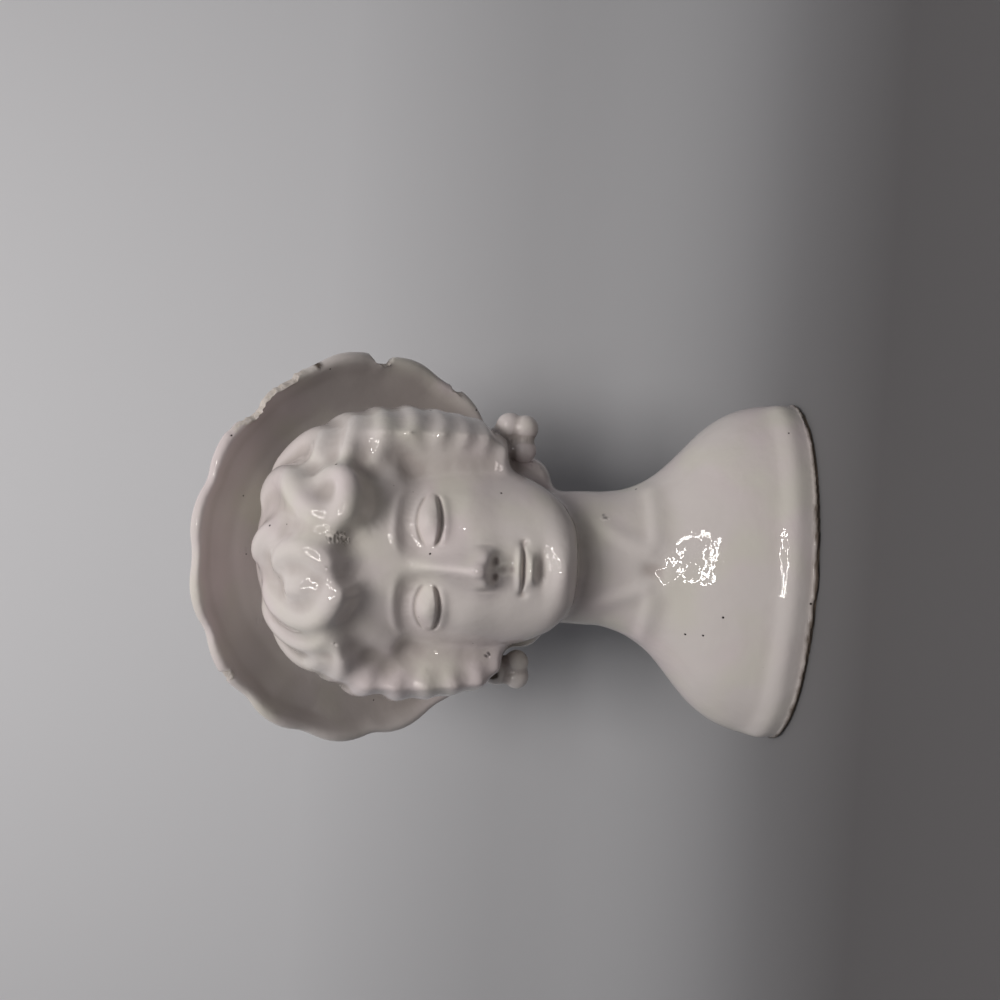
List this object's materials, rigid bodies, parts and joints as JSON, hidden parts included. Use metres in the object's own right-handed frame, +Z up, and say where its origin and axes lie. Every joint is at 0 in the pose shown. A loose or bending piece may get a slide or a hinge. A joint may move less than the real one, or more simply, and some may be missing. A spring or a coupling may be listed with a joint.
{
  "type": "head planter",
  "caption": "Glazed ceramic planter in the form of a lady's bust: a wide hat with a scalloped brim, curled hair and bead earrings; the plant goes into the open hat crown.",
  "frame": {"origin": "centre of the oval foot, on the surface that the planter stands on", "axes": "+Z up, -Y out of the face, +X to the right of someone who looks at the face"},
  "size_m": [0.1133, 0.0891, 0.1557],
  "materials": {
    "white_glaze": "glossy white glaze",
    "hat_glaze": "glossy white glaze",
    "bead_glaze": "glossy white glaze",
    "bare_bisque": "bare fired clay, matt"
  },
  "bodies": {
    "root": {"bust_shell": "white_glaze", "earring_left": "bead_glaze", "earring_right": "bead_glaze", "foot_plate": "bare_bisque", "hair_base": "white_glaze", "hat_brim": "hat_glaze", "hat_crown": "hat_glaze", "head_shell": "white_glaze", "lock_front_hook": "white_glaze", "lock_front_inner": "white_glaze", "lock_front_left": "white_glaze", "lock_left_hook": "white_glaze", "lock_left_second": "white_glaze", "lock_left_side_1": "white_glaze", "lock_left_side_2": "white_glaze", "lock_left_side_3": "white_glaze", "lock_left_side_4": "white_glaze", "lock_left_temple": "white_glaze", "lock_left_third": "white_glaze", "lock_right_front": "white_glaze", "lock_right_hook": "white_glaze", "lock_right_second": "white_glaze", "lock_right_side_1": "white_glaze", "lock_right_side_2": "white_glaze", "lock_right_side_3": "white_glaze", "lock_right_side_4": "white_glaze", "lock_right_temple": "white_glaze", "lock_right_third": "white_glaze", "lock_top_middle": "white_glaze", "nape_roll": "white_glaze"}
  },
  "joints": []
}
